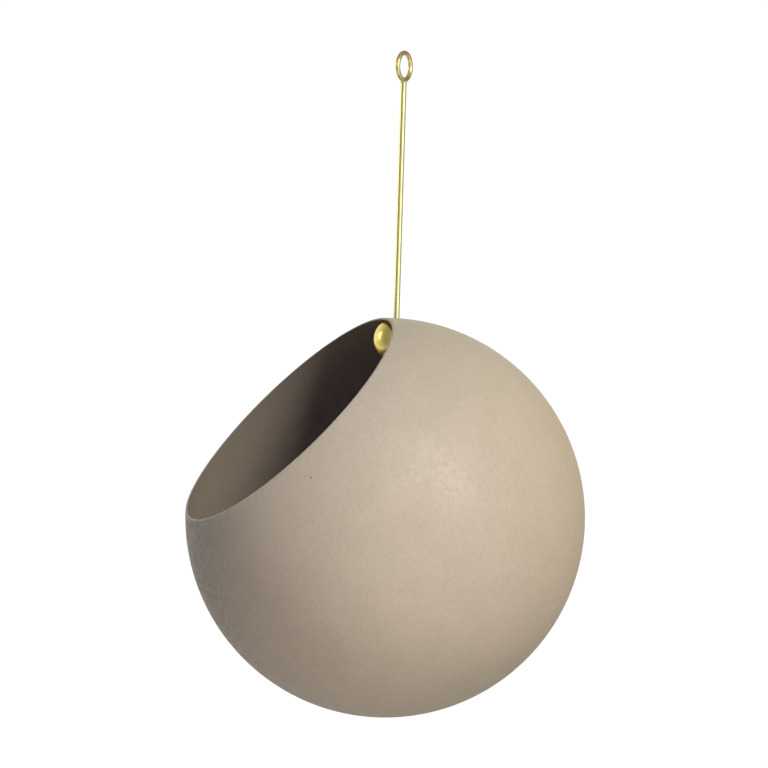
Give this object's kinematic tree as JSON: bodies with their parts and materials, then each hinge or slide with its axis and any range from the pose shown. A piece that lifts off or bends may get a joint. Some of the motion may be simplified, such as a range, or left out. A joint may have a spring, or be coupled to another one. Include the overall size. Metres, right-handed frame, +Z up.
{
  "type": "hanging planter",
  "caption": "Globe planter of coated sheet metal with a slanted open mouth, hung on a slim brass rod with an eye at the top; a ball nut inside carries the globe, which swivels on the rod.",
  "frame": {"origin": "centre of the eye, where the planter hangs", "axes": "+Z up along the rod; the mouth of the globe opens towards -Y and up; the globe is symmetric about the YZ plane"},
  "size_m": [0.21, 0.2099, 0.3509],
  "materials": {
    "powder_coat": "matt taupe powder coat with a fine grain, inside and out",
    "polished_brass": "polished brass"
  },
  "bodies": {
    "hanger": {"hanging_rod": "polished_brass", "eye_ring": "polished_brass", "ball_nut": "polished_brass"},
    "globe": {"globe_shell": "powder_coat"}
  },
  "joints": [
    {"name": "globe_swivel", "type": "hinge", "parent": "hanger", "child": "globe", "pos_m": [0, 0, -0.13429], "axis": [0, 0, 1], "continuous": true}
  ]
}
